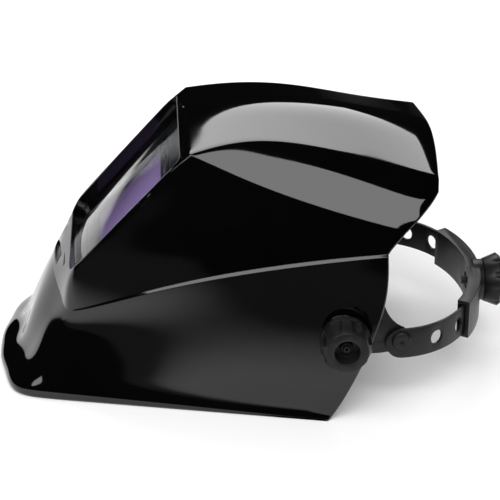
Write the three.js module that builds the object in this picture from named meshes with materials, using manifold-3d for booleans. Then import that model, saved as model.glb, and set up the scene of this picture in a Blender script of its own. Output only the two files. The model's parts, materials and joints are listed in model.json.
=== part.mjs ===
// Welding helmet with an auto-darkening filter and ratchet headgear.
// Millimetres. +Z up, -Y is the way the face looks, +X is the wearer's left.
// The origin is on the floor under the middle, and the shell stands on its bottom rim.
import * as THREE from 'three';
import { mergeVertices } from 'three/addons/utils/BufferGeometryUtils.js';
import Module from 'manifold-3d';

const wasm = await Module();
wasm.setup();

// ---- driving dimensions -------------------------------------------------------------------
const WALL = 3;                 // shell wall
const GAP = 0.3;                // clearance between pieces that touch

// Shell ribs, from the chin lip up over the dome to the rear rim. Each rib runs from the middle
// plane (y, z) round a corner (x, y, z) to the rear edge (x, y, z). round is how far from the
// corner its rounding starts; front bows the front arm forward, side bows the side arm (x, z).
const RIBS = [
  { middle: [-181.8, 0], corner: [69.8, -170.8, 0], edge: [115, 45.5, 0], round: 34, front: 2,
    side: [0, 0] },
  { middle: [-183.1, 4], corner: [70.3, -173.2, 4], edge: [115.2, 46.5, 1.2], round: 34, front: 2.5,
    side: [0, 0] },
  { middle: [-180, 8.5], corner: [69.5, -170.5, 8.8], edge: [114.4, 47.8, 2.6], round: 32, front: 3,
    side: [0, 0] },
  { middle: [-168, 13], corner: [68.2, -161.8, 14.5], edge: [113.8, 50.5, 6], round: 28, front: 4,
    side: [0.8, 0] },
  { middle: [-162, 22], corner: [66.8, -155, 22.5], edge: [113.2, 56, 14], round: 26, front: 5,
    side: [1.5, 0] },
  { middle: [-157.5, 38], corner: [62.6, -148, 34.5], edge: [112.5, 70, 42], round: 24, front: 5,
    side: [3.5, 0] },
  { middle: [-149, 61], corner: [59.4, -138.5, 48], edge: [111, 86, 88], round: 20, front: 5,
    side: [5, 4] },
  { middle: [-141, 80], corner: [61, -131.5, 60], edge: [103.6, 85.6, 118.8], round: 16, front: 3,
    side: [8, 14], crease: 0.03 },
  { middle: [-141, 80.5], corner: [60.8, -131.5, 61.3], edge: [102.2, 85.6, 120], round: 16, front: 3,
    side: [6.8, 15.2], crease: 0.03 },
  { middle: [-136, 87.5], corner: [58.6, -129.3, 84.5], edge: [101.8, 86.2, 121.2], round: 8, front: 1,
    side: [6.2, 8] },
  { middle: [-121, 102], corner: [59, -120, 101.5], edge: [100.9, 88, 123.6], round: 5, front: 0,
    side: [5.5, 5] },
  { middle: [-91, 135], corner: [60.5, -91, 132.5], edge: [99.6, 91.5, 127.2], round: 5, front: 0,
    side: [5, 1] },
  { middle: [-64, 164], corner: [62, -64, 162], edge: [98.3, 95, 130.8], round: 5, front: 0,
    side: [4.5, -3] },
  { middle: [-43, 182.5], corner: [62.5, -44, 178.5], edge: [97, 98.6, 134.8], round: 5, front: 0,
    side: [5, -6], crease: 0.03 },
  { middle: [-10, 190.5], corner: [55, -10, 185.6], edge: [92.5, 108, 142.8], round: 6, front: 0,
    side: [4, 3] },
  { middle: [35, 191], corner: [56, 36, 183], edge: [87.5, 114, 148.2], round: 6, front: 0,
    side: [2, 2] },
  { middle: [82, 184], corner: [61.5, 86, 168.3], edge: [83, 118.6, 152.2], round: 6, front: 0,
    side: [1, 1] },
  { middle: [127, 169], corner: [69, 122.8, 161], edge: [78, 121.5, 155.5], round: 6, front: -1,
    side: [0, 0] },
];
const CORNER_SHARE = 0.45;      // the most of an arm that a corner's rounding takes
const ROW_STEPS = 2;            // skin rows in each span between ribs
const COLUMN_STEPS = 3;         // skin columns in each span along a rib

// Window frame: a runs along X, b up the slope, n out of the face.
const WINDOW_FOOT = new THREE.Vector3(0, -130, 87);
const WINDOW_SLOPE = 47.55;     // degrees
const OPENING = { low: 3, high: 118, lowHalf: 55.4, highHalf: 60.4, corner: 8 };
const HOLDER = { grow: 3, back: -24, clear: 0.5 };   // holder frame behind the opening
const RECESS = 9.9;             // depth of the window recess
const LEDGE = 15;                // the flat window face reaches this far below the opening
const FLANGE = 2.1;             // flange behind the cover lens
const LENS = { thick: 1.4, arch: 5, steps: 10 };    // cover lens
const VIEW = { half: 48, low: 14, high: 85 };
const CARTRIDGE = { half: 55, low: 4, high: 96, front: -13, back: -29 };

// Headgear
const PIVOT = new THREE.Vector3(0, 58, 63);
const BAND = { half: 92, rearY: 97, rearDepth: 65, frontHalf: 86.2, frontY: 60, frontDepth: 104, thick: 2 };
const ARM_X = 87.6;             // inner face of a side arm
const ARM_THICK = 2;
const JOINT = new THREE.Vector3(0, 99.5, 49.5);     // where a strap swings on its arm
const STRAP_OUT_X = 93.4;       // under the strap rivet's head
const CROWN_FRONT = { y: 14, width: 20, half: 75 };
const CROWN_REAR = { y: 62, width: 20, half: 84.5 };
const CROWN_FOOT_Z = 70;
const CROWN_PEG_Z = 76;
const CROWN_TOP_Z = 158;
const BAND_RIVET = { y: 36, z: 70 };
const STRAP = { z: 36, height: 22 };
const RATCHET_Z = 48;
const BOSS_X = 100.5;           // inner face of the shell's pivot boss
const KNOB_X = 113.2;           // inner face of a tension knob
const KNOB_END_X = 133;
const KNOB = { r: 17.4, crown: 14.4, well: 8.8, scallop: 4.6, reach: 19.6 };
const KNOB_REAR_Y = 182;

// ---- helpers --------------------------------------------------------------------------------
const rad = THREE.MathUtils.degToRad;

function positionsOnly(geometry) {
  const g = geometry.clone();
  g.deleteAttribute('normal');
  g.deleteAttribute('uv');
  return mergeVertices(g, 1e-4);
}

function toSolid(geometry) {
  const g = positionsOnly(geometry);
  const vertProperties = new Float32Array(g.attributes.position.array);
  const triVerts = new Uint32Array(g.index.array);
  return new wasm.Manifold(new wasm.Mesh({ numProp: 3, vertProperties, triVerts }));
}

function toGeometry(solid) {
  const mesh = solid.getMesh();
  const g = new THREE.BufferGeometry();
  g.setAttribute('position', new THREE.BufferAttribute(new Float32Array(mesh.vertProperties), 3));
  g.setIndex(new THREE.BufferAttribute(new Uint32Array(mesh.triVerts), 1));
  g.computeVertexNormals();
  return g;
}

const cut = (a, ...tools) => tools.reduce((s, t) => s.subtract(t), a);
const join = (a, ...more) => more.reduce((s, t) => s.add(t), a);

function box(x0, x1, y0, y1, z0, z1) {
  const g = new THREE.BoxGeometry(x1 - x0, y1 - y0, z1 - z0);
  return g.translate((x0 + x1) / 2, (y0 + y1) / 2, (z0 + z1) / 2);
}

// A cylinder along X, Y or Z between two positions on that axis.
function rod(axis, r, from, to, u, v, sides = 20, rEnd = r) {
  const g = new THREE.CylinderGeometry(rEnd, r, to - from, sides);
  if (axis === 'x') return g.rotateZ(-Math.PI / 2).translate((from + to) / 2, u, v);
  if (axis === 'y') return g.translate(u, (from + to) / 2, v);
  return g.rotateX(Math.PI / 2).translate(u, v, (from + to) / 2);
}

function extrude(points, depth) {
  const shape = new THREE.Shape(points.map(([x, y]) => new THREE.Vector2(x, y)));
  return new THREE.ExtrudeGeometry(shape, { depth, bevelEnabled: false, steps: 1 });
}

// A trapezoid with round corners, as a closed list of points.
function roundTrapezoid(low, high, lowHalf, highHalf, r, steps = 4) {
  const corners = [[highHalf - r, high - r, 0], [-highHalf + r, high - r, 90],
    [-lowHalf + r, low + r, 180], [lowHalf - r, low + r, 270]];
  const out = [];
  for (const [cx, cy, start] of corners) {
    for (let i = 0; i <= steps; i++) {
      const t = rad(start + 90 * i / steps);
      out.push([cx + r * Math.cos(t), cy + r * Math.sin(t)]);
    }
  }
  return out;
}

const windowMatrix = new THREE.Matrix4().makeRotationX(rad(WINDOW_SLOPE)).setPosition(WINDOW_FOOT);
const inWindow = (geometry) => geometry.applyMatrix4(windowMatrix);
const windowBox = (half, low, high, n0, n1) => inWindow(box(-half, half, low, high, n0, n1));

function windowPlate(grow, n0, n1) {
  const o = OPENING;
  const outline = roundTrapezoid(o.low - grow, o.high + grow, o.lowHalf + grow,
    o.highHalf + grow, Math.max(o.corner + grow, 2));
  return inWindow(extrude(outline, n1 - n0).translate(0, 0, n0));
}

function mirrorX(geometry) {
  const g = positionsOnly(geometry).applyMatrix4(new THREE.Matrix4().makeScale(-1, 1, 1));
  const index = g.index.array;
  for (let i = 0; i < index.length; i += 3) {
    const keep = index[i];
    index[i] = index[i + 1];
    index[i + 1] = keep;
  }
  return g;
}

// ---- shell ------------------------------------------------------------------------------------
// Control points of a whole rib, from the wearer's right edge to the left edge.
function ribPoints(rib) {
  const middle = new THREE.Vector3(0, ...rib.middle);
  const corner = new THREE.Vector3(...rib.corner);
  const edge = new THREE.Vector3(...rib.edge);
  const roundTo = (end) => corner.clone().lerp(end,
    Math.min(rib.round / corner.distanceTo(end), CORNER_SHARE));
  const near = roundTo(middle);
  const far = roundTo(edge);
  const frontBow = middle.clone().lerp(near, 0.5);
  frontBow.y -= rib.front;
  const sideBow = far.clone().lerp(edge, 0.5);
  sideBow.x += rib.side[0];
  sideBow.z += rib.side[1];
  const half = [middle, frontBow, near, corner, far, sideBow, edge];
  const mirror = half.slice(1).reverse().map((p) => new THREE.Vector3(-p.x, p.y, p.z));
  return mirror.concat(half);
}

// The ribs' control points, with a close row on each side of a creased rib.
function controlNet() {
  const net = RIBS.map(ribPoints);
  const rows = [];
  const between = (i, j, share) => net[i].map((p, k) => p.clone().lerp(net[j][k], share));
  RIBS.forEach(({ crease }, i) => {
    if (crease) rows.push(between(i, i - 1, crease));
    rows.push(net[i]);
    if (crease) rows.push(between(i, i + 1, crease));
  });
  return rows;
}

// Clamped uniform cubic B-spline weights, one list per sample.
function splineWeights(count, steps) {
  const knots = [];
  for (let i = -3; i <= count; i++) knots.push(Math.min(Math.max(i, 0), count - 3));
  const weight = (i, degree, t) => {
    if (degree === 0) return knots[i] <= t && t < knots[i + 1] ? 1 : 0;
    const left = knots[i + degree] - knots[i];
    const right = knots[i + degree + 1] - knots[i + 1];
    const up = left > 0 ? (t - knots[i]) / left * weight(i, degree - 1, t) : 0;
    const down = right > 0
      ? (knots[i + degree + 1] - t) / right * weight(i + 1, degree - 1, t) : 0;
    return up + down;
  };
  const samples = [];
  const last = (count - 3) * steps;
  for (let k = 0; k <= last; k++) {
    const t = Math.min(k / steps, count - 3 - 1e-9);
    samples.push(Array.from({ length: count }, (_, i) => weight(i, 3, t)));
  }
  return samples;
}

function weighted(points, weights) {
  const sum = new THREE.Vector3();
  points.forEach((p, i) => sum.addScaledVector(p, weights[i]));
  return sum;
}

// Rows of points of the outer skin, each from the wearer's right edge to the left edge.
function outerSkin() {
  const net = controlNet();
  const across = splineWeights(net[0].length, COLUMN_STEPS);
  const ribs = net.map((row) => across.map((weights) => weighted(row, weights)));
  const down = splineWeights(net.length, ROW_STEPS);
  return down.map((weights) => ribs[0].map((_, j) => weighted(ribs.map((rib) => rib[j]), weights)));
}

// The outer skin moved in by an inset; its bottom row stays on the floor.
function innerSkin(outer, inset = WALL) {
  const at = (i, j) => outer[Math.min(Math.max(i, 0), outer.length - 1)][
    Math.min(Math.max(j, 0), outer[0].length - 1)];
  return outer.map((row, i) => row.map((p, j) => {
    const across = at(i, j + 1).clone().sub(at(i, j - 1));
    const along = at(i + 1, j).clone().sub(at(i - 1, j));
    const inner = p.clone().addScaledVector(across.cross(along).normalize(), -inset);
    if (i === 0) inner.z = 0;
    return inner;
  }));
}

function gridGeometry(triangles) {
  const g = new THREE.BufferGeometry().setFromPoints(triangles.flat());
  g.setAttribute('normal', new THREE.BufferAttribute(new Float32Array(triangles.length * 9), 3));
  return g;
}

function quad(list, a, b, c, d) {
  list.push([a, b, c], [a, c, d]);
}

function shellSkin() {
  const outer = outerSkin();
  const inner = innerSkin(outer);
  const top = outer.length - 1;
  const last = outer[0].length - 1;
  const out = [];
  for (let i = 0; i < top; i++) {
    for (let j = 0; j < last; j++) {
      quad(out, outer[i][j], outer[i][j + 1], outer[i + 1][j + 1], outer[i + 1][j]);
      quad(out, inner[i][j], inner[i + 1][j], inner[i + 1][j + 1], inner[i][j + 1]);
    }
    quad(out, outer[i][0], outer[i + 1][0], inner[i + 1][0], inner[i][0]);
    quad(out, outer[i][last], inner[i][last], inner[i + 1][last], outer[i + 1][last]);
  }
  for (let j = 0; j < last; j++) {
    quad(out, outer[0][j], inner[0][j], inner[0][j + 1], outer[0][j + 1]);
    quad(out, outer[top][j], outer[top][j + 1], inner[top][j + 1], inner[top][j]);
  }
  return gridGeometry(out);
}

// The whole space inside a skin, closed straight across between its two edges.
function skinVolume(rows = outerSkin()) {
  const top = rows.length - 1;
  const last = rows[0].length - 1;
  const out = [];
  for (let i = 0; i < top; i++) {
    for (let j = 0; j < last; j++) {
      quad(out, rows[i][j], rows[i][j + 1], rows[i + 1][j + 1], rows[i + 1][j]);
    }
    quad(out, rows[i][last], rows[i][0], rows[i + 1][0], rows[i + 1][last]);
  }
  for (let j = 0; j < last / 2; j++) {
    const k = last - j;
    const foot = rows[0];
    const rim = rows[top];
    if (j + 1 < k - 1) {
      quad(out, foot[j], foot[k], foot[k - 1], foot[j + 1]);
      quad(out, rim[j], rim[j + 1], rim[k - 1], rim[k]);
    } else {
      out.push([foot[j], foot[k], foot[j + 1]], [rim[j], rim[j + 1], rim[k]]);
    }
  }
  return gridGeometry(out);
}

function makeShell() {
  const volume = toSolid(skinVolume());
  const ledge = OPENING.low - LEDGE;
  const front = toSolid(windowBox(90, ledge, 170, 0, 40));
  const face = toSolid(windowBox(90, ledge, 160, -WALL, 0)).intersect(volume);
  const recess = toSolid(windowPlate(WALL, -RECESS - FLANGE, -0.5)).intersect(volume);
  const body = join(cut(toSolid(shellSkin()), front), face, recess);
  const opening = toSolid(windowPlate(0, -RECESS, 45));
  const through = toSolid(windowPlate(-4.5, -40, 1));
  const pivotHole = toSolid(rod('x', 5.6, -140, 140, PIVOT.y, PIVOT.z));
  const boss = rod('x', 14, BOSS_X, KNOB_X - GAP, PIVOT.y, PIVOT.z, 32);
  const bosses = [toSolid(boss), toSolid(mirrorX(boss))];
  return toGeometry(cut(join(body, ...bosses), opening, through, pivotHole));
}

// The clear cover lens: a sheet sprung into a shallow arch across the window.
function makeCoverLens() {
  const half = OPENING.highHalf;
  const foot = -RECESS + GAP;
  const rise = (a) => foot + LENS.arch * (1 - (a / half) ** 2);
  const outline = [];
  for (let i = -LENS.steps; i <= LENS.steps; i++) {
    const a = half * i / LENS.steps;
    outline.push([a, rise(a) + LENS.thick]);
  }
  for (let i = LENS.steps; i >= -LENS.steps; i--) {
    const a = half * i / LENS.steps;
    outline.push([a, rise(a)]);
  }
  const length = OPENING.high - OPENING.low + 2;
  const sheet = extrude(outline.reverse(), length).rotateX(Math.PI / 2);
  const arch = toSolid(inWindow(sheet.translate(0, OPENING.high + 1, 0)));
  return toGeometry(arch.intersect(toSolid(windowPlate(-GAP, foot, 0))));
}

// ---- window and filter cartridge ------------------------------------------------------------------
function makeCartridge() {
  const c = CARTRIDGE;
  const seam = -17.6;
  const glassBack = -20.6;
  const view = toSolid(windowBox(VIEW.half, VIEW.low, VIEW.high, -60, 10));
  const solarSeat = toSolid(windowBox(38, 87.5, 94.5, c.front - 1.2, 10));
  const sensorSeats = [-1, 1].map((s) => toSolid(inWindow(
    rod('z', 3.4, c.front - 1.6, 10, s * 46.5, 90.5, 16))));
  const frontFrame = cut(toSolid(windowBox(c.half, c.low, c.high, seam, c.front)), view, solarSeat,
    ...sensorSeats);
  const pocket = toSolid(windowBox(51.3, 9.7, 90.3, glassBack - GAP, 0));
  const dialSeats = DIALS.map((d) => toSolid(inWindow(rod('z', 2.3, -60, c.back + 6, d.a, d.b, 16))));
  const traySlot = toSolid(windowBox(13.3, -30, 13.4, c.back + 1.7, c.back + 6.3));
  const backFrame = cut(toSolid(windowBox(c.half, c.low, c.high, c.back, seam - GAP)), view, pocket,
    ...dialSeats, traySlot);
  return {
    filter_front_frame: toGeometry(frontFrame),
    filter_glass: windowBox(51, 10, 90, glassBack, seam - GAP - 0.1),
    filter_back_case: toGeometry(backFrame),
    solar_cell: windowBox(37.7, 87.8, 94.2, c.front - 0.9, c.front - 0.1),
    inner_cover_lens: windowBox(50, VIEW.low - 2, VIEW.high + 0.6, c.back - 1.5, c.back - GAP),
  };
}

const DIALS = [
  { name: 'shade_dial', a: 33, b: 91.3, r: 5.2 },
  { name: 'sensitivity_dial', a: 0, b: 91.3, r: 4.4 },
  { name: 'delay_dial', a: -33, b: 91.3, r: 4.4 },
];

function makeDial({ a, b, r }) {
  const back = CARTRIDGE.back;
  const cap = toSolid(rod('z', r, back - 6, back - GAP, a, b, 24));
  const spindle = toSolid(rod('z', 2, back - 1, back + 5.4, a, b, 16));
  const slot = toSolid(box(a - 0.9, a + 0.9, b - r - 1, b + r + 1, back - 7, back - 4.6));
  return inWindow(toGeometry(cut(join(cap, spindle), slot)));
}

function makeBatteryTray() {
  const back = CARTRIDGE.back;
  const plate = toSolid(box(-13, 13, 4.8, 13, back + 2, back + 6));
  const pull = toSolid(box(-9, 9, 2, 5.5, back + 2, back + 6));
  const groove = toSolid(box(-7, 7, 2.6, 3.6, back + 1, back + 2.8));
  const seat = toSolid(box(-10.3, 10.3, 6, 14, back + 3.2, back + 7));
  return inWindow(toGeometry(cut(join(plate, pull), groove, seat)));
}

function makeHolder() {
  const c = CARTRIDGE;
  const front = -RECESS - FLANGE - GAP;
  const inside = toSolid(skinVolume(innerSkin(outerSkin(), WALL + HOLDER.clear)));
  const body = toSolid(windowPlate(HOLDER.grow, HOLDER.back, front)).intersect(inside);
  const seat = toSolid(windowBox(c.half + 0.4, c.low - 0.4, c.high + 0.4, -60, c.front + 0.1));
  const sight = toSolid(windowBox(c.half - 2, c.low + 2, c.high - 1.4, -60, 10));
  const drawerWay = toSolid(windowBox(14, -20, 10, -60, c.back + 8));
  const hookSeat = (a) => toSolid(inWindow(box(a - 1.8, a + 1.8, 95, 103, -60, -20)));
  return toGeometry(cut(body, seat, sight, drawerWay, hookSeat(-42), hookSeat(42)));
}

// A sprung wire bail that keeps the cartridge in its holder: two legs hooked in at the top.
function makeBail() {
  const path = new THREE.CatmullRomCurve3([
    [-42, 101, -22], [-42, 100.4, -27], [-42, 97.6, -31.6], [-42, 92, -32.4], [-42, 40, -32.4],
    [-40, 14, -32.4], [-34, 8.4, -32.4], [34, 8.4, -32.4], [40, 14, -32.4], [42, 40, -32.4],
    [42, 92, -32.4], [42, 97.6, -31.6], [42, 100.4, -27], [42, 101, -22],
  ].map((p) => new THREE.Vector3(...p)), false, 'catmullrom', 0.2);
  const section = new THREE.Shape(new THREE.EllipseCurve(0, 0, 1, 1).getPoints(6).slice(0, 6));
  return inWindow(new THREE.ExtrudeGeometry(section, { steps: 44, extrudePath: path }));
}

// ---- headgear -------------------------------------------------------------------------------------
// A band that follows an ellipse in plan; angles in degrees from +X towards +Y.
function bandOutline(centreY, half, depth, thick, from, to, steps) {
  const outer = [];
  const inner = [];
  for (let i = 0; i <= steps; i++) {
    const t = rad(from + (to - from) * i / steps);
    const out = new THREE.Vector2(Math.cos(t) / half, Math.sin(t) / depth).normalize();
    const x = half * Math.cos(t);
    const y = centreY + depth * Math.sin(t);
    outer.push([x + out.x * thick / 2, y + out.y * thick / 2]);
    inner.push([x - out.x * thick / 2, y - out.y * thick / 2]);
  }
  return outer.concat(inner.reverse());
}

function band(centreY, half, depth, thick, from, to, z, height, steps = 20) {
  const outline = bandOutline(centreY, half, depth, thick, from, to, steps);
  return extrude(outline, height).translate(0, 0, z);
}

// A hole straight through a band, at an angle round the ellipse.
function bandHole(centreY, half, depth, angle, z, rAcross, rUp) {
  const t = rad(angle);
  const heading = Math.atan2(Math.sin(t) / depth, Math.cos(t) / half);
  const g = new THREE.CylinderGeometry(1, 1, 16, 16);
  g.rotateZ(-Math.PI / 2).scale(1, rAcross, rUp).rotateZ(heading);
  return toSolid(g.translate(half * Math.cos(t), centreY + depth * Math.sin(t), z));
}

function makeFrontBand() {
  const b = BAND;
  const strip = toSolid(band(b.frontY, b.frontHalf, b.frontDepth, b.thick, -174, -6, 58, 24, 30));
  const crown = toSolid(rod('x', 2.3, -100, 100, CROWN_FRONT.y + CROWN_FRONT.width / 2, CROWN_PEG_Z, 12));
  const rivet = rod('x', 2, 84.2, ARM_X + ARM_THICK + 1, BAND_RIVET.y, BAND_RIVET.z, 12);
  return toGeometry(join(cut(strip, crown), toSolid(rivet), toSolid(mirrorX(rivet))));
}

function makeSweatband() {
  const b = BAND;
  return band(b.frontY, b.frontHalf - 5.2, b.frontDepth - 5.2, 7.6, -150, -30, 55, 30, 24);
}

// Side arm: a flat plate beside the temple, with the pivot, three stop holes and the strap joint.
function makeSideArm() {
  const outline = new THREE.Shape();
  outline.moveTo(28, 52);
  outline.lineTo(28, 78);
  outline.quadraticCurveTo(58, 92, 86, 80);
  outline.quadraticCurveTo(90, 62, 101, 57.5);
  outline.absarc(JOINT.y, JOINT.z, 7.4, rad(60), rad(-80), true);
  outline.quadraticCurveTo(80, 34, 58, 43);
  outline.quadraticCurveTo(38, 46, 28, 52);
  const plate = new THREE.ExtrudeGeometry(outline, {
    depth: ARM_THICK, bevelEnabled: false, curveSegments: 8 });
  plate.rotateX(Math.PI / 2).rotateZ(Math.PI / 2).translate(ARM_X, 0, 0);
  const pivotHole = toSolid(rod('x', 4.4, 60, 120, PIVOT.y, PIVOT.z));
  const stops = [-30, 0, 30].map((a) => toSolid(rod('x', 2.2, 60, 120,
    PIVOT.y - 15 * Math.cos(rad(a)), PIVOT.z + 15 * Math.sin(rad(a)), 12)));
  const jointHole = toSolid(rod('x', 3.3, 60, 120, JOINT.y, JOINT.z));
  const crownY = CROWN_REAR.y + CROWN_REAR.width / 2;
  const crownHole = toSolid(rod('x', 2.3, 60, 120, crownY, CROWN_PEG_Z, 12));
  const rivetHole = toSolid(rod('x', 2.3, 60, 120, BAND_RIVET.y, BAND_RIVET.z, 12));
  return toGeometry(cut(toSolid(plate), pivotHole, ...stops, jointHole, crownHole, rivetHole));
}

// Pivot stud: a flange inside the arm and a threaded shank through arm, washer, shell and knob.
function makePivotStud() {
  const flange = toSolid(rod('x', 8, ARM_X - 2.3, ARM_X - GAP, PIVOT.y, PIVOT.z, 24));
  const end = KNOB_END_X - 6.5;
  const shank = toSolid(rod('x', 4, ARM_X - 1, end, PIVOT.y, PIVOT.z));
  const tip = toSolid(rod('x', 2.9, end - 0.5, end + 2, PIVOT.y, PIVOT.z, 16, 2.4));
  const dimple = toSolid(rod('x', 1, end - 1.5, end + 4, PIVOT.y, PIVOT.z, 12));
  return toGeometry(cut(join(flange, shank, tip), dimple));
}

function ring(r, bore, from, to, y, z, sides = 32) {
  return toGeometry(cut(toSolid(rod('x', r, from, to, y, z, sides)),
    toSolid(rod('x', bore, from - 1, to + 1, y, z, 24))));
}

// Tension knob: a domed knob with eight finger scallops and a deep well in its face.
function makeTensionKnob() {
  const { y, z } = PIVOT;
  const shoulder = KNOB_END_X - 6;
  const base = toSolid(rod('x', KNOB.r, KNOB_X, shoulder, y, z, 40));
  const crown = toSolid(rod('x', KNOB.r, shoulder, KNOB_END_X, y, z, 40, KNOB.crown));
  const well = toSolid(rod('x', KNOB.well, KNOB_END_X - 10, KNOB_END_X + 1, y, z, 24));
  const bore = toSolid(rod('x', 4.3, KNOB_X - 1, KNOB_END_X, y, z));
  const scallops = [];
  for (let i = 0; i < 8; i++) {
    const t = rad(22.5 + 45 * i);
    scallops.push(toSolid(rod('x', KNOB.scallop, KNOB_X + 5, KNOB_END_X + 1,
      y + KNOB.reach * Math.cos(t), z + KNOB.reach * Math.sin(t), 14)));
  }
  return toGeometry(cut(join(base, crown), well, bore, ...scallops));
}

function makeRearStrap() {
  const b = BAND;
  const middle = STRAP.z + STRAP.height / 2;
  const strip = toSolid(band(b.rearY, b.half, b.rearDepth, b.thick, -8, 86, STRAP.z, STRAP.height, 26));
  const holes = [25, 44].map((a) => bandHole(b.rearY, b.half, b.rearDepth, a, middle, 5.2, 5.4));
  const eye = toSolid(rod('x', 3.3, 60, 120, JOINT.y, JOINT.z));
  const roundEnd = toSolid(rod('x', STRAP.height / 2, 60, 120, JOINT.y, middle, 32));
  const squareEnd = toSolid(box(60, 120, 80, JOINT.y, STRAP.z - 1, STRAP.z + STRAP.height + 1));
  return toGeometry(cut(strip, ...holes, eye, cut(squareEnd, roundEnd)));
}

// Rivet that joins a side arm to its rear strap and lets the strap swing.
function makeStrapRivet() {
  const head = toSolid(rod('x', 7.2, STRAP_OUT_X, STRAP_OUT_X + 1.6, JOINT.y, JOINT.z, 24, 6));
  const shank = toSolid(rod('x', 2.9, ARM_X - 1.4, STRAP_OUT_X + 1, JOINT.y, JOINT.z, 16));
  const foot = toSolid(rod('x', 5, ARM_X - 1.6, ARM_X - GAP, JOINT.y, JOINT.z, 20));
  const dimple = toSolid(rod('x', 1.5, STRAP_OUT_X + 0.6, STRAP_OUT_X + 4, JOINT.y, JOINT.z, 12));
  return toGeometry(cut(join(head, shank, foot), dimple));
}

function makeRatchetHousing() {
  const b = BAND;
  const outer = toSolid(band(b.rearY, b.half, b.rearDepth, 9, 50, 130, STRAP.z - 3, 28, 24));
  const way = toSolid(band(b.rearY, b.half - 1, b.rearDepth - 1, 5.2, 40, 140, STRAP.z - 0.5, 23, 26));
  const boss = toSolid(rod('y', 15, 162, 169.2, 0, RATCHET_Z, 32));
  const bore = toSolid(rod('y', 6.4, 150, 180, 0, RATCHET_Z, 24));
  return toGeometry(cut(join(outer, boss), way, bore));
}

// Ratchet knob and its pinion shaft are one turning unit of two pieces.
function makeRatchetKnob() {
  const base = toSolid(rod('y', 15.5, 169.6, KNOB_REAR_Y - 2.4, 0, RATCHET_Z, 32, 19.5));
  const crown = toSolid(rod('y', 19.5, KNOB_REAR_Y - 2.4, KNOB_REAR_Y, 0, RATCHET_Z, 32, 17.6));
  const socket = toSolid(rod('y', 3.3, 165, 176, 0, RATCHET_Z, 12));
  const grips = [];
  for (let i = 0; i < 10; i++) {
    const t = rad(36 * i);
    grips.push(toSolid(rod('y', 3.4, 165, 190, 21.2 * Math.cos(t), RATCHET_Z + 21.2 * Math.sin(t), 12)));
  }
  return toGeometry(cut(join(base, crown), socket, ...grips));
}

function makeRatchetPinion() {
  const shaft = toSolid(rod('y', 3, 154, 175.7, 0, RATCHET_Z, 12));
  const collar = toSolid(rod('y', 6.1, 163.5, 166, 0, RATCHET_Z, 24));
  const teeth = [];
  for (let i = 0; i < 8; i++) {
    const tooth = box(-0.8, 0.8, 157.5, 163.9, 0, 4.6).rotateY(rad(45 * i));
    teeth.push(toSolid(tooth.translate(0, 0, RATCHET_Z)));
  }
  return toGeometry(join(shaft, collar, ...teeth));
}

// A crown strap: an arch over the head from arm to arm.
function crownArch(y, width, half, foot, top, thick, from, to) {
  const points = bandOutline(foot, half, top - foot, thick, from, to, 24);
  return extrude(points, width).rotateX(Math.PI / 2).translate(0, y + width, 0);
}

function makeCrownStrap({ y, width, half }) {
  const strip = toSolid(crownArch(y, width, half, CROWN_FOOT_Z, CROWN_TOP_Z, 1.6, -1, 181));
  const peg = rod('x', 1.8, half - 0.4, half + 10, y + width / 2, CROWN_PEG_Z, 12);
  const holes = [];
  for (let x = -18; x <= 18; x += 12) {
    holes.push(toSolid(rod('z', 1.9, 100, 190, x, y + width / 2, 12)));
  }
  return toGeometry(join(cut(strip, ...holes), toSolid(peg), toSolid(mirrorX(peg))));
}

// ---- assembly -----------------------------------------------------------------------------------
const MATERIALS = {
  shell: [0x0b0b0c, 0.12, 0],
  lens: [0xc9d2da, 0.05, 0],
  filter: [0x6f5fa8, 0.1, 0.1],
  case: [0x17181a, 0.5, 0],
  solar: [0x20243a, 0.25, 0.1],
  band: [0x1a1b1d, 0.55, 0],
  knob: [0x151618, 0.45, 0],
  dial: [0x3a3d42, 0.5, 0],
  steel: [0xb6b8bb, 0.3, 1],
  pad: [0x2b2c2f, 0.95, 0],
};

const helmet = new THREE.Group();

function add(name, geometry, look) {
  const [color, roughness, metalness] = MATERIALS[look];
  const mesh = new THREE.Mesh(geometry, new THREE.MeshStandardMaterial({ color, roughness, metalness }));
  mesh.name = name;
  helmet.add(mesh);
}

function addPair(name, geometry, look) {
  add(`${name}_left`, geometry, look);
  add(`${name}_right`, mirrorX(geometry), look);
}

add('shell', makeShell(), 'shell');
add('cover_lens', makeCoverLens(), 'lens');
const cartridge = makeCartridge();
const CARTRIDGE_LOOKS = {
  filter_front_frame: 'case', filter_glass: 'filter', filter_back_case: 'case',
  solar_cell: 'solar', inner_cover_lens: 'lens',
};
for (const [name, geometry] of Object.entries(cartridge)) add(name, geometry, CARTRIDGE_LOOKS[name]);
const sensor = inWindow(rod('z', 3.1, CARTRIDGE.front - 1.3, CARTRIDGE.front - 0.1, 46.5, 90.5, 16));
addPair('arc_sensor', sensor, 'solar');
add('cartridge_holder', makeHolder(), 'case');
add('holder_bail', makeBail(), 'steel');
for (const dial of DIALS) add(dial.name, makeDial(dial), 'dial');
add('battery_tray', makeBatteryTray(), 'case');
add('coin_cell', inWindow(box(-10, 10, 6.3, 12.7, CARTRIDGE.back + 3.5, CARTRIDGE.back + 5.6)), 'steel');

add('front_band', makeFrontBand(), 'band');
add('sweatband', makeSweatband(), 'pad');
addPair('side_arm', makeSideArm(), 'band');
addPair('pivot_stud', makePivotStud(), 'case');
addPair('tilt_washer', ring(9.5, 4.4, ARM_X + ARM_THICK + GAP, BOSS_X - GAP, PIVOT.y, PIVOT.z), 'band');
addPair('tension_knob', makeTensionKnob(), 'knob');
add('crown_strap_front', makeCrownStrap(CROWN_FRONT), 'band');
add('crown_strap_rear', makeCrownStrap(CROWN_REAR), 'band');

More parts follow.
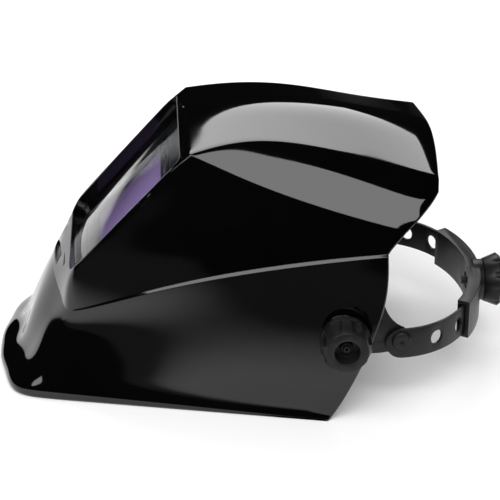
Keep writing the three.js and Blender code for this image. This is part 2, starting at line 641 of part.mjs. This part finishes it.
addPair('rear_strap', makeRearStrap(), 'band');
addPair('strap_rivet', makeStrapRivet(), 'band');
add('ratchet_housing', makeRatchetHousing(), 'knob');
add('ratchet_knob', makeRatchetKnob(), 'knob');
add('ratchet_pinion', makeRatchetPinion(), 'case');

export default helmet;
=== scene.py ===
# Welding helmet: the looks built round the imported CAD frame. Lengths are millimetres in the
# helper functions, and everything is scaled to metres by MM when it becomes a mesh.
import json
import math

import bmesh
import bpy
import numpy as np
from mathutils import Matrix, Quaternion, Vector


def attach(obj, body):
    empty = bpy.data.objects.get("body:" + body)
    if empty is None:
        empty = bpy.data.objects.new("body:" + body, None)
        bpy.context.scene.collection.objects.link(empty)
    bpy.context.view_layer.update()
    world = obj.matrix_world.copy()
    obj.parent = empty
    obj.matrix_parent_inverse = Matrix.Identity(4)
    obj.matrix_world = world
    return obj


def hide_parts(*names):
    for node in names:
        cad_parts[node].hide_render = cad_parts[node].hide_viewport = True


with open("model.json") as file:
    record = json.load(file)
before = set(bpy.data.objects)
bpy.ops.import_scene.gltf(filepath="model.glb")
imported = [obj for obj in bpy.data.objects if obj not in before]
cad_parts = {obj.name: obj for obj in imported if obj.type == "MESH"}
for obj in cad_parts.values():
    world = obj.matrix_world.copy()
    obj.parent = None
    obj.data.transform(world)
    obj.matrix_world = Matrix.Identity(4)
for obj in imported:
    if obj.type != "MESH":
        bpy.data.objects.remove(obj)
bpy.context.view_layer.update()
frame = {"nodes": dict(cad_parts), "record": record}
MM = 0.001

# ---- camera ---------------------------------------------------------------------------------
CAMERA_TARGET = Vector((0, 0, 0.076))
CAMERA_DISTANCE = 1.44
CAMERA_ELEVATION = math.radians(26)
CAMERA_YAW = math.radians(3)
CAMERA_LENS = 144


def make_camera():
    ce, se = math.cos(CAMERA_ELEVATION), math.sin(CAMERA_ELEVATION)
    cy, sy = math.cos(CAMERA_YAW), math.sin(CAMERA_YAW)
    ahead = Vector((-ce * cy, ce * sy, -se))
    right = Vector((sy, cy, 0))
    up = right.cross(ahead)
    data = bpy.data.cameras.new("camera")
    data.lens = CAMERA_LENS
    data.sensor_width = 36
    data.clip_start = 0.05
    camera = bpy.data.objects.new("camera", data)
    turn = Matrix((right, up, -ahead)).transposed().to_4x4()
    camera.matrix_world = Matrix.Translation(CAMERA_TARGET - ahead * CAMERA_DISTANCE) @ turn
    bpy.context.collection.objects.link(camera)
    bpy.context.scene.camera = camera


# ---- node helpers ---------------------------------------------------------------------------
class Graph:
    """A short way to write one material's nodes."""

    def __init__(self, name):
        self.material = bpy.data.materials.new(name)
        self.material.use_nodes = True
        self.tree = self.material.node_tree
        self.shader = self.tree.nodes["Principled BSDF"]
        self.coords = self.add("ShaderNodeTexCoord").outputs["Object"]

    def add(self, kind, inputs=None, **settings):
        node = self.tree.nodes.new(kind)
        for key, value in settings.items():
            setattr(node, key, value)
        for key, value in (inputs or {}).items():
            self.put(node, key, value)
        return node

    def put(self, node, key, value):
        socket = node.inputs[key]
        if isinstance(value, bpy.types.NodeSocket):
            self.tree.links.new(value, socket)
        else:
            socket.default_value = value

    def set(self, **values):
        for key, value in values.items():
            self.put(self.shader, key.replace("_", " "), value)

    def noise(self, scale, detail=3.0, rough=0.5, coords=None, stretch=None):
        source = coords or self.coords
        if stretch:
            source = self.add("ShaderNodeMapping", {"Vector": source, "Scale": stretch}).outputs[0]
        node = self.add("ShaderNodeTexNoise", {"Vector": source, "Scale": scale, "Detail": detail,
                                               "Roughness": rough})
        return node.outputs["Fac"]

    def ramp(self, value, low, high, out_low, out_high):
        node = self.add("ShaderNodeMapRange", {"Value": value, "From Min": low, "From Max": high,
                                               "To Min": out_low, "To Max": out_high})
        return node.outputs[0]

    def mix(self, factor, a, b):
        node = self.add("ShaderNodeMix", data_type="RGBA")
        self.put(node, 0, factor)
        self.put(node, 6, a)
        self.put(node, 7, b)
        return node.outputs[2]

    def bump(self, height, distance, strength=1.0, normal=None):
        node = self.add("ShaderNodeBump", {"Height": height, "Distance": distance,
                                           "Strength": strength})
        if normal is not None:
            self.put(node, "Normal", normal)
        return node.outputs[0]

    def soft_edge(self, radius):
        return self.add("ShaderNodeBevel", {"Radius": radius}, samples=6).outputs[0]


def grey(level, tint=0.0):
    return (level, level, level * (1 + tint), 1)


def shell_gloss():
    """Polished black thermoplastic: deep gloss, faint flow waviness, hairline scuffs."""
    g = Graph("shell_gloss")
    edge = g.soft_edge(0.0007)
    waves = g.noise(26, 1.5)
    hairs = g.noise(900, 4.0, 0.7, stretch=(1, 0.06, 1))
    smudge = g.noise(14, 4.0, 0.6)
    colour = g.mix(g.ramp(smudge, 0.35, 0.75, 0, 1), grey(0.0006, 0.08), grey(0.0012, 0.08))
    g.set(Base_Color=colour, Roughness=g.ramp(smudge, 0.3, 0.8, 0.035, 0.085), IOR=1.52,
          Normal=g.bump(hairs, 0.00001, 0.35, g.bump(waves, 0.0006, 0.12, edge)))
    return g.material


def moulded(name, level, rough, grain=2600, depth=0.00006, edge=0.0004):
    """Satin moulded nylon with a fine spark grain and rubbed, lighter patches."""
    g = Graph(name)
    fine = g.noise(grain, 2.0, 0.5)
    patch = g.noise(60, 5.0, 0.6)
    colour = g.mix(g.ramp(patch, 0.3, 0.75, 0, 1), grey(level * 0.8, 0.06), grey(level * 1.35, 0.06))
    g.set(Base_Color=colour, Roughness=g.ramp(patch, 0.3, 0.7, rough - 0.06, rough + 0.08),
          IOR=1.5, Specular_IOR_Level=0.28,
          Normal=g.bump(fine, depth, 0.5, g.soft_edge(edge)))
    return g.material


def drawn_steel():
    """Spring wire with faint lines along its length."""
    g = Graph("drawn_steel")
    lines = g.noise(700, 3.0, 0.6, stretch=(1, 0.05, 1))
    g.set(Base_Color=g.mix(lines, grey(0.42, 0.03), grey(0.62, 0.03)), Metallic=1.0,
          Roughness=g.ramp(lines, 0.2, 0.8, 0.22, 0.4), Normal=g.bump(lines, 0.00002, 0.4))
    return g.material


def violet_filter():
    """Interference-coated filter face: violet mirror with a slow shift of tint."""
    g = Graph("violet_filter")
    drift = g.noise(9, 1.0)
    colour = g.mix(g.ramp(drift, 0.3, 0.7, 0, 1), (0.33, 0.22, 0.47, 1), (0.39, 0.27, 0.55, 1))
    g.set(Base_Color=colour, Roughness=g.ramp(g.noise(300, 2), 0.3, 0.7, 0.10, 0.16), IOR=1.55)
    return g.material


def solar_film():
    """Dark solar cell with thin contact lines."""
    g = Graph("solar_film")
    wave = g.add("ShaderNodeTexWave", {"Vector": g.coords, "Scale": 28.0, "Distortion": 0.0},
                 bands_direction="X").outputs["Fac"]
    line = g.ramp(wave, 0.93, 0.97, 0, 1)
    g.set(Base_Color=g.mix(line, (0.012, 0.012, 0.022, 1), (0.06, 0.05, 0.07, 1)),
          Roughness=g.ramp(g.noise(500), 0.3, 0.7, 0.12, 0.2))
    return g.material


def clear_sheet():
    """Clear polycarbonate: sees through, mirrors at a slant, faint haze."""
    g = Graph("clear_sheet")
    haze = g.noise(40, 4.0, 0.6)
    clear = g.add("ShaderNodeBsdfTransparent", {"Color": (0.93, 0.94, 0.95, 1)}).outputs[0]
    gloss = g.add("ShaderNodeBsdfGlossy", {"Color": (1, 1, 1, 1),
                                           "Roughness": g.ramp(haze, 0.3, 0.8, 0.03, 0.07)}).outputs[0]
    slant = g.add("ShaderNodeLayerWeight", {"Blend": 0.5}).outputs["Facing"]
    steep = g.add("ShaderNodeMath", {0: slant, 1: 6.0}, operation="POWER").outputs[0]
    mirror = g.add("ShaderNodeMath", {0: steep, 1: 1.3, 2: 0.05},
                   operation="MULTIPLY_ADD").outputs[0]
    mixed = g.add("ShaderNodeMixShader", {0: mirror, 1: clear, 2: gloss}).outputs[0]
    g.tree.links.new(mixed, g.tree.nodes["Material Output"].inputs["Surface"])
    return g.material


def pad_knit():
    """Brushed knit over foam: fine loops, soft sheen."""
    g = Graph("pad_knit")
    loops = g.add("ShaderNodeTexVoronoi", {"Vector": g.coords, "Scale": 900.0}).outputs["Distance"]
    fluff = g.noise(1800, 4.0, 0.7)
    patch = g.noise(70, 3.0)
    g.set(Base_Color=g.mix(patch, grey(0.018, 0.1), grey(0.035, 0.1)), Roughness=0.95,
          Sheen_Weight=0.35, Sheen_Roughness=0.45,
          Normal=g.bump(fluff, 0.0003, 0.5, g.bump(loops, 0.0006, 0.7)))
    return g.material


# ---- mesh helpers ---------------------------------------------------------------------------
def new_object(name, verts_mm, faces, material, smooth_angle=30):
    mesh = bpy.data.meshes.new(name)
    mesh.from_pydata([tuple(c * MM for c in v) for v in verts_mm], [], faces)
    mesh.update()
    obj = bpy.data.objects.new(name, mesh)
    bpy.context.collection.objects.link(obj)
    if material:
        mesh.materials.append(material)
    if smooth_angle:
        smooth(obj, smooth_angle)
    return obj


def smooth(obj, angle=30):
    """Smooth shading, with the edges sharper than the angle left crisp."""
    mesh = obj.data
    mesh.shade_smooth()
    bm = bmesh.new()
    bm.from_mesh(mesh)
    limit = math.radians(angle)
    for edge in bm.edges:
        edge.smooth = len(edge.link_faces) == 2 and edge.calc_face_angle(0) < limit
    bm.to_mesh(mesh)
    bm.free()


def apply_modifiers(obj):
    graph = bpy.context.evaluated_depsgraph_get()
    mesh = bpy.data.meshes.new_from_object(obj.evaluated_get(graph))
    old = obj.data
    obj.modifiers.clear()
    obj.data = mesh
    bpy.data.meshes.remove(old)


def boolean(obj, tool, operation):
    """Combines obj with tool, and removes tool."""
    mod = obj.modifiers.new("cut", "BOOLEAN")
    mod.operation = operation
    mod.solver = "MANIFOLD"
    mod.object = tool
    apply_modifiers(obj)
    bpy.data.objects.remove(tool)
    return obj


def dress(piece, material, slot, body, *nodes):
    """Gives a piece its material, hangs it on its body's empty and hides the CAD nodes it stands for.
    """
    piece.data.materials.clear()
    piece.data.materials.append(material)
    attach(piece, body)
    if nodes:
        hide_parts(*nodes)
    return piece


# ---- shell ----------------------------------------------------------------------------------
WALL = 3.0
# One rib per row, from the chin lip up over the dome to the rear rim. Each runs from the middle
# plane (y, z) round a corner (x, y, z) to the rear edge (x, y, z). "round" is how far from the
# corner the rounding starts; the front arm bows forward and the side arm bows out and up.
RIBS = (
    # middle, corner, edge, round, front bow, side bow, crease (share of the way to its neighbours)
    ((-181.8, 0), (69.8, -170.8, 0), (115, 45.5, 0), 34, 2, (0, 0), 0),
    ((-183.1, 4), (70.3, -173.2, 4), (115.2, 46.5, 1.2), 34, 2.5, (0, 0), 0),
    ((-180, 8.5), (69.5, -170.5, 8.8), (114.4, 47.8, 2.6), 32, 3, (0, 0), 0),
    ((-168, 13), (68.2, -161.8, 14.5), (113.8, 50.5, 6), 28, 4, (0.8, 0), 0),
    ((-162, 22), (66.8, -155, 22.5), (113.2, 56, 14), 26, 5, (1.5, 0), 0),
    ((-157.5, 38), (62.6, -148, 34.5), (112.5, 70, 42), 24, 5, (3.5, 0), 0),
    ((-149, 61), (59.4, -138.5, 48), (111, 86, 88), 20, 5, (5, 4), 0),
    ((-141, 80), (61, -131.5, 60), (103.6, 85.6, 118.8), 16, 3, (8, 14), 0.03),
    ((-141, 80.5), (60.8, -131.5, 61.3), (102.2, 85.6, 120), 16, 3, (6.8, 15.2), 0.03),
    ((-136, 87.5), (58.6, -129.3, 84.5), (101.8, 86.2, 121.2), 8, 1, (6.2, 8), 0),
    ((-121, 102), (59, -120, 101.5), (100.9, 88, 123.6), 5, 0, (5.5, 5), 0),
    ((-91, 135), (60.5, -91, 132.5), (99.6, 91.5, 127.2), 5, 0, (5, 1), 0),
    ((-64, 164), (62, -64, 162), (98.3, 95, 130.8), 5, 0, (4.5, -3), 0),
    ((-43, 182.5), (62.5, -44, 178.5), (97, 98.6, 134.8), 5, 0, (5, -6), 0.03),
    ((-10, 190.5), (55, -10, 185.6), (92.5, 108, 142.8), 6, 0, (4, 3), 0),
    ((35, 191), (56, 36, 183), (87.5, 114, 148.2), 6, 0, (2, 2), 0),
    ((82, 184), (61.5, 86, 168.3), (83, 118.6, 152.2), 6, 0, (1, 1), 0),
    ((127, 169), (69, 122.8, 161), (78, 121.5, 155.5), 6, -1, (0, 0), 0),
)
ROW_STEPS = 10
COLUMN_STEPS = 16
RIM_STEPS = 6


def rib_points(rib):
    """Control points of a whole rib, right edge to left edge."""
    (cy, cz), corner, edge, round_, front, (side_x, side_z), _ = rib
    middle = np.array([0, cy, cz], float)
    corner, edge = np.array(corner, float), np.array(edge, float)
    inward, outward = middle - corner, edge - corner
    near = corner + inward * min(round_ / np.linalg.norm(inward), 0.45)
    far = corner + outward * min(round_ / np.linalg.norm(outward), 0.45)
    front_bow = (middle + near) / 2 - np.array([0, front, 0])
    side_bow = (far + edge) / 2 + np.array([side_x, 0, side_z])
    half = [middle, front_bow, near, corner, far, side_bow, edge]
    mirror = [p * (-1, 1, 1) for p in half[:0:-1]]
    return np.array(mirror + half)


def control_net():
    """The ribs' control points, with extra rows close beside each creased rib."""
    net = [rib_points(rib) for rib in RIBS]
    rows = []
    for i, row in enumerate(net):
        crease = RIBS[i][-1]
        if crease:
            rows.append(row + (net[i - 1] - row) * crease)
        rows.append(row)
        if crease:
            rows.append(row + (net[i + 1] - row) * crease)
    return np.array(rows)


def spline_basis(count, steps):
    """Clamped uniform cubic B-spline weights, one row per sample."""
    knots = np.concatenate([[0] * 3, np.arange(count - 2), [count - 3] * 3]).astype(float)
    t = np.linspace(0, count - 3, (count - 3) * steps + 1)
    t[-1] -= 1e-9
    weights = np.array([(knots[i] <= t) & (t < knots[i + 1]) for i in range(count + 3)], float).T
    for degree in range(1, 4):
        fresh = np.zeros((len(t), weights.shape[1] - 1))
        for i in range(fresh.shape[1]):
            left, right = knots[i + degree] - knots[i], knots[i + degree + 1] - knots[i + 1]
            if left > 0:
                fresh[:, i] += (t - knots[i]) / left * weights[:, i]
            if right > 0:
                fresh[:, i] += (knots[i + degree + 1] - t) / right * weights[:, i + 1]
        weights = fresh
    return weights


def skin_rows():
    """Points of the outer skin, rows from chin to dome rim, columns from right edge to left."""
    net = control_net()
    down = spline_basis(len(net), ROW_STEPS)
    across = spline_basis(net.shape[1], COLUMN_STEPS)
    return np.einsum("ir,rck,jc->ijk", down, net, across)


def grid_normals(points):
    along = np.gradient(points, axis=0)
    across = np.gradient(points, axis=1)
    normal = np.cross(across, along)
    return normal / np.linalg.norm(normal, axis=2, keepdims=True)


def grid_faces(rows, columns, start, flip=False):
    faces = []
    for i in range(rows - 1):
        for j in range(columns - 1):
            a = start + i * columns + j
            quad = (a, a + 1, a + columns + 1, a + columns)
            faces.append(quad[::-1] if flip else quad)
    return faces


def grid_loops(stations, loop):
    """Quads between neighbouring closed loops of points."""
    return [(i * loop + j, i * loop + (j + 1) % loop, (i + 1) * loop + (j + 1) % loop,
             (i + 1) * loop + j) for i in range(stations) for j in range(loop)]


def boundary_loop(rows, columns):
    """Indices round a grid, starting at its first corner."""
    low = [(0, j) for j in range(columns)]
    right = [(i, columns - 1) for i in range(1, rows)]
    high = [(rows - 1, j) for j in range(columns - 2, -1, -1)]
    left = [(i, 0) for i in range(rows - 2, 0, -1)]
    return low + right + high + left


def smoothed(field, passes=6):
    """A grid of directions, each blended with its neighbours a few times."""
    for _ in range(passes):
        padded = np.pad(field, ((1, 1), (1, 1), (0, 0)), mode="edge")
        field = (padded[:-2, 1:-1] + padded[2:, 1:-1] + padded[1:-1, :-2] + padded[1:-1, 2:]
                 + 2 * field) / 6
    return field / np.linalg.norm(field, axis=2, keepdims=True)


def shell_wall():
    """The skin as a wall WALL thick, with a half-round rim all the way round."""
    outer = skin_rows()
    normal = smoothed(grid_normals(outer))
    inner = outer - normal * WALL
    radius = WALL / 2
    outer[0, :, 2] = radius
    inner[0, :, 2] = radius
    rows, columns = outer.shape[:2]
    verts = list(outer.reshape(-1, 3)) + list(inner.reshape(-1, 3))
    count = rows * columns
    faces = grid_faces(rows, columns, 0) + grid_faces(rows, columns, count, True)
    loop = boundary_loop(rows, columns)
    rings = []
    for k, (i, j) in enumerate(loop):
        o, n = outer[i, j], inner[i, j]
        before, after = loop[k - 1], loop[(k + 1) % len(loop)]
        run = outer[after] - outer[before]
        away = np.cross(run, o - n)
        away /= np.linalg.norm(away)
        if i == 0:
            away = np.array([0, 0, -1.0])
        ring = []
        for step in range(1, RIM_STEPS):
            turn = math.pi * step / RIM_STEPS
            point = (o + n) / 2 + (o - n) / 2 * math.cos(turn) + away * radius * math.sin(turn)
            point[2] = max(point[2], 0)
            ring.append(len(verts))
            verts.append(point)
        rings.append([i * columns + j] + ring + [count + i * columns + j])
    for k, ring in enumerate(rings):
        following = rings[(k + 1) % len(rings)]
        for a, b, c, d in zip(ring[:-1], following[:-1], following[1:], ring[1:]):
            faces.append((a, d, c, b))
    return new_object("shell", verts, faces, None, 0)


def skin_volume():
    """The space inside the outer skin, closed across the bottom, the back and the two ends."""
    skin = skin_rows()
    rows, columns = skin.shape[:2]
    verts = list(skin.reshape(-1, 3))
    faces = grid_faces(rows, columns, 0)
    for i in range(rows - 1):
        a, b = i * columns, i * columns + columns - 1
        faces.append((b, a, a + columns, b + columns))
    half = columns // 2
    for j in range(half):
        k = columns - 1 - j
        top = (rows - 1) * columns
        if j + 1 < k - 1:
            faces.append((j, k, k - 1, j + 1))
            faces.append((top + j, top + j + 1, top + k - 1, top + k))
        else:
            faces.append((j, k, j + 1))
            faces.append((top + j, top + j + 1, top + k))
    return new_object("volume", verts, faces, None, 0)


# Window frame: a along X, b up the slope, n out of the face.
WINDOW_FOOT = Vector((0, -130, 87))
SLOPE = math.radians(47.55)
OPENING = {"low": 3, "high": 118, "low_half": 55.4, "high_half": 60.4, "corner": 8}
RECESS = 9.9
FLANGE = 2.1
LEDGE = 15
B_AXIS = Vector((0, math.cos(SLOPE), math.sin(SLOPE)))
N_AXIS = Vector((0, -math.sin(SLOPE), math.cos(SLOPE)))


def window_point(a, b, n):
    """A point given in the window's own frame."""
    return WINDOW_FOOT + Vector((a, 0, 0)) + B_AXIS * b + N_AXIS * n


def window_outline(grow, steps=10):
    """The opening's round-cornered outline, made larger by grow on every side."""
    o = OPENING
    r = max(o["corner"] + grow, 2)
    low, high = o["low"] - grow, o["high"] + grow
    low_half, high_half = o["low_half"] + grow, o["high_half"] + grow
    corners = ((high_half - r, high - r, 0), (-high_half + r, high - r, 90),
               (-low_half + r, low + r, 180), (low_half - r, low + r, 270))
    points = []
    for ca, cb, start in corners:
        for i in range(steps + 1):
            turn = math.radians(start + 90 * i / steps)
            points.append((ca + r * math.cos(turn), cb + r * math.sin(turn)))
    return points


def window_prism(outline, n0, n1, name="prism"):
    count = len(outline)
    verts = [window_point(a, b, n0) for a, b in outline] + [window_point(a, b, n1) for a, b in outline]
    faces = [tuple(range(count))[::-1], tuple(range(count, 2 * count))]
    for i in range(count):
        j = (i + 1) % count
        faces.append((i, j, count + j, count + i))
    return new_object(name, verts, faces, None, 0)


def window_box(half, low, high, n0, n1):
    return window_prism(((half, low), (half, high), (-half, high), (-half, low)), n0, n1)


def tube(x0, x1, radius, y, z, sides=64):
    """A solid round bar along X."""
    verts, faces = [], []
    for x in (x0, x1):
        for i in range(sides):
            turn = 2 * math.pi * i / sides
            verts.append((x, y + radius * math.cos(turn), z + radius * math.sin(turn)))
    faces.append(tuple(range(sides))[::-1])
    faces.append(tuple(range(sides, 2 * sides)))
    for i in range(sides):
        j = (i + 1) % sides
        faces.append((i, j, sides + j, sides + i))
    return new_object("rod", verts, faces, None, 0)


PIVOT = (58.0, 63.0)
BOSS = {"x": 100.5, "radius": 14, "bore": 5.6}
KNOB_X = 113.2
KNOB_GAP = 0.3
FACE = {"half": 90, "high": 160, "cut_high": 170}
SIGHT_INSET = 4.5
SKIN_MARGIN = 0.5
BEYOND = 40            # how far a cutting tool reaches past what it cuts
SHELL_SMOOTH = 28


def make_shell(material):
    """The moulded wall, its flat window face and recess, and a pivot boss on each side."""
    shell = shell_wall()
    ledge = OPENING["low"] - LEDGE
    half, high = FACE["half"], FACE["high"]
    boolean(shell, window_box(half, ledge, FACE["cut_high"], 0, BEYOND), "DIFFERENCE")
    face = boolean(skin_volume(), window_box(half, ledge, high, -WALL, 0), "INTERSECT")
    boolean(shell, face, "UNION")
    wall = window_prism(window_outline(WALL), -RECESS - FLANGE, -SKIN_MARGIN)
    boolean(shell, boolean(skin_volume(), wall, "INTERSECT"), "UNION")
    for side in (-1, 1):
        ends = sorted((side * BOSS["x"], side * (KNOB_X - KNOB_GAP)))
        boolean(shell, tube(*ends, BOSS["radius"], *PIVOT), "UNION")
    boolean(shell, window_prism(window_outline(0), -RECESS, BEYOND), "DIFFERENCE")
    boolean(shell, window_prism(window_outline(-SIGHT_INSET), -BEYOND, 1), "DIFFERENCE")
    boolean(shell, tube(-KNOB_X - BEYOND, KNOB_X + BEYOND, BOSS["bore"], *PIVOT), "DIFFERENCE")
    smooth(shell, SHELL_SMOOTH)
    return dress(shell, material, "shell_black", "shell_unit", "shell")


# ---- parts carried over from the frame with rounded edges -----------------------------------
WELD = 1e-6
FLAT = math.radians(1.0)


def refine(node, material, slot, body, width=0.35, segments=2, angle=32):
    """A copy of a CAD part with flat facets merged and its sharp edges rounded."""
    source = frame["nodes"][node]
    piece = source.copy()
    piece.data = source.data.copy()
    piece.name = node + "_fine"
    bpy.context.collection.objects.link(piece)
    piece.parent = None
    piece.matrix_world = source.matrix_world
    bm = bmesh.new()
    bm.from_mesh(piece.data)
    bmesh.ops.remove_doubles(bm, verts=bm.verts, dist=WELD)
    bmesh.ops.dissolve_limit(bm, angle_limit=FLAT, verts=bm.verts, edges=bm.edges)
    bm.to_mesh(piece.data)
    bm.free()
    mod = piece.modifiers.new("round", "BEVEL")
    mod.width = width * MM
    mod.segments = segments
    mod.limit_method = "ANGLE"
    mod.angle_limit = math.radians(angle)
    mod.harden_normals = False
    apply_modifiers(piece)
    smooth(piece, angle + 2)
    return dress(piece, material, slot, body, node)


# ---- sweatband ------------------------------------------------------------------------------
PAD = {"y": 60, "half": 81, "depth": 98.8, "thick": 7.6, "low": 55, "high": 85, "from": -150,
       "to": -30}
PAD_WELT = {"thick": 2.0, "wide": 3.0, "thin": 0.35, "round": 1.2, "groove": 0.7, "groove_wide": 0.6}
PAD_CLEAR = 0.02       # between the pad's outer face and the band it is fixed to
PAD_SPARE = 0.1        # the crown stays this far inside the pad's full thickness


def pad_point(angle, z, inward):
    """A point this far inside the pad's outer face, at an angle round its ellipse."""
    across = np.array([math.cos(angle) / PAD["half"], math.sin(angle) / PAD["depth"]])
    across /= np.linalg.norm(across)
    reach = PAD["thick"] / 2 - inward
    return (PAD["half"] * math.cos(angle) + across[0] * reach,
            PAD["y"] + PAD["depth"] * math.sin(angle) + across[1] * reach, z)


def pad_swell(edge):
    """Thickness at a distance from the nearest edge: a sewn welt, its groove, then the crown."""
    welt = PAD_WELT
    if edge < welt["wide"]:
        return welt["thick"] * min(1, welt["thin"] + edge / welt["round"])
    middle = (PAD["high"] - PAD["low"]) / 2
    rise = min(1, (edge - welt["wide"]) / (middle - welt["wide"]))
    crown = math.sqrt(1 - (1 - rise) ** 2)
    groove = welt["groove"] * math.exp(-((edge - welt["wide"]) / welt["groove_wide"]) ** 2)
    return welt["thick"] - groove + (PAD["thick"] - PAD_SPARE - welt["thick"]) * crown


def make_sweatband(material):
    """A padded band: flat against the headband, crowned towards the forehead, sewn round."""
    stations, columns = 150, 31
    arc = math.radians(PAD["to"] - PAD["from"]) * 0.5 * (PAD["half"] + PAD["depth"])
    heights = [PAD["low"] + (PAD["high"] - PAD["low"]) * j / (columns - 1)
               for j in range(columns)]
    verts = []
    for i in range(stations + 1):
        share = i / stations
        angle = math.radians(PAD["from"] + (PAD["to"] - PAD["from"]) * share)
        to_end = arc * min(share, 1 - share)
        verts += [pad_point(angle, z, PAD_CLEAR) for z in heights]
        for z in reversed(heights):
            edge = min(to_end, z - PAD["low"], PAD["high"] - z)
            verts.append(pad_point(angle, z, PAD_CLEAR + pad_swell(edge)))
    loop = 2 * columns
    faces = grid_loops(stations, loop)
    faces.append(tuple(range(loop - 1, -1, -1)))
    faces.append(tuple(stations * loop + j for j in range(loop)))
    piece = new_object("sweatband_pad", verts, faces, material, 50)
    return dress(piece, material, "pad_black", BODY_OF["sweatband"], "sweatband")


# ---- stage ----------------------------------------------------------------------------------
LIT_HEIGHT = 0.12      # the boxes point at the middle of the helmet, at this height


def softbox(name, azimuth, elevation, distance, wide, high, radiance, roll=0):
    """A rectangular light facing the helmet from a direction round it, angles in degrees."""
    data = bpy.data.lights.new(name, "AREA")
    data.shape = "RECTANGLE"
    data.size = wide
    data.size_y = high
    data.energy = radiance * math.pi * wide * high
    light = bpy.data.objects.new(name, data)
    az, el = math.radians(azimuth), math.radians(elevation)
    away = Vector((math.cos(el) * math.cos(az), math.cos(el) * math.sin(az), math.sin(el)))
    light.location = Vector((0, 0, LIT_HEIGHT)) + away * distance
    turn = away.to_track_quat("Z", "Y") @ Quaternion((0, 0, 1), math.radians(roll))
    light.rotation_euler = turn.to_euler()
    bpy.context.collection.objects.link(light)


FLOOR_HALF = 8.0
PAPER = 0.86           # how pale the floor is
PAPER_PAINTED_SHADE = 0.03      # painted shade: how pale it looks in mirror-like surfaces, away from the helmet
PAPER_NEAR = (0.19, 0.35)
PAPER_REAR = (-2.4, -1.0)
WORLD_MIRROR = 0.006
WORLD_GAINS = (("Is Camera Ray", 0.9), ("Is Diffuse Ray", 0.5))


def fade(g, value, span, levels):
    """A smooth step from one level to another over a span."""
    return g.add("ShaderNodeMapRange", {"Value": value, "From Min": span[0], "From Max": span[1],
                                        "To Min": levels[0], "To Max": levels[1]},
                 interpolation_type="SMOOTHSTEP").outputs[0]


def paper():
    """White paper with painted shade: it mirrors as black beyond its lit middle, a painted stand-in
    for the shade of flags round a table.
    """
    g = Graph("paper")
    x = g.add("ShaderNodeSeparateXYZ", {"Vector": g.coords}).outputs["X"]
    # painted shade: the paper that glossy rays see darkens beyond PAPER_NEAR and PAPER_REAR along X
    near = fade(g, x, PAPER_NEAR, (PAPER, PAPER_PAINTED_SHADE))
    rear = fade(g, x, PAPER_REAR, (PAPER_PAINTED_SHADE, 1.0))
    painted_shade_mirror_level = g.add("ShaderNodeMath", {0: near, 1: rear}, operation="MULTIPLY").outputs[0]
    mirrored = g.add("ShaderNodeLightPath").outputs["Is Glossy Ray"]
    g.set(Base_Color=g.mix(mirrored, grey(PAPER), painted_shade_mirror_level), Roughness=0.9)
    return g.material


def make_floor():
    h = FLOOR_HALF
    mesh = bpy.data.meshes.new("floor")
    mesh.from_pydata([(-h, -h, 0), (h, -h, 0), (h, h, 0), (-h, h, 0)], [], [(0, 1, 2, 3)])
    floor = bpy.data.objects.new("floor", mesh)
    bpy.context.collection.objects.link(floor)
    mesh.materials.append(paper())


def make_world():
    """A white studio that the gloss hardly mirrors, so the boxes alone shape its reflections."""
    world = bpy.data.worlds.new("studio")
    bpy.context.scene.world = world
    world.use_nodes = True
    tree = world.node_tree
    background = tree.nodes["Background"]
    background.inputs[0].default_value = (1, 1, 1, 1)
    path = tree.nodes.new("ShaderNodeLightPath")
    target = background.inputs[1]
    for ray, strength in WORLD_GAINS[::-1]:
        gain = tree.nodes.new("ShaderNodeMath")
        gain.operation = "MULTIPLY_ADD"
        tree.links.new(path.outputs[ray], gain.inputs[0])
        gain.inputs[1].default_value = strength
        tree.links.new(gain.outputs[0], target)
        target = gain.inputs[2]
    target.default_value = WORLD_MIRROR


def make_stage():
    make_floor()
    make_world()
    softbox("near_box", -17, 47, 2.4, 3.3, 1.8, 4.2, 12)
    softbox("back_box", 184, 43, 1.9, 2.1, 0.95, 3.6, 29)
    bpy.context.scene.view_settings.view_transform = "Standard"


# ---- build ----------------------------------------------------------------------------------
make_camera()
make_stage()
LOOKS = {
    "shell_black": shell_gloss(),
    "band_black": moulded("band_nylon", 0.006, 0.42),
    "knob_black": moulded("knob_nylon", 0.006, 0.38),
    "case_black": moulded("case_nylon", 0.014, 0.5),
    "dial_grey": moulded("dial_nylon", 0.06, 0.45),
    "steel": drawn_steel(),
    "filter_violet": violet_filter(),
    "solar_blue": solar_film(),
    "lens_clear": clear_sheet(),
    "pad_black": pad_knit(),
}
BODY_OF = {node: body for body, nodes in frame["record"]["behaviour"]["bodies"].items()
           for node in nodes}
make_shell(LOOKS["shell_black"])
for part in frame["record"]["subparts"]:
    node, slot = part["node"], part["material_slot"]
    if node not in ("shell", "sweatband"):
        refine(node, LOOKS[slot], slot, BODY_OF[node])
make_sweatband(LOOKS["pad_black"])
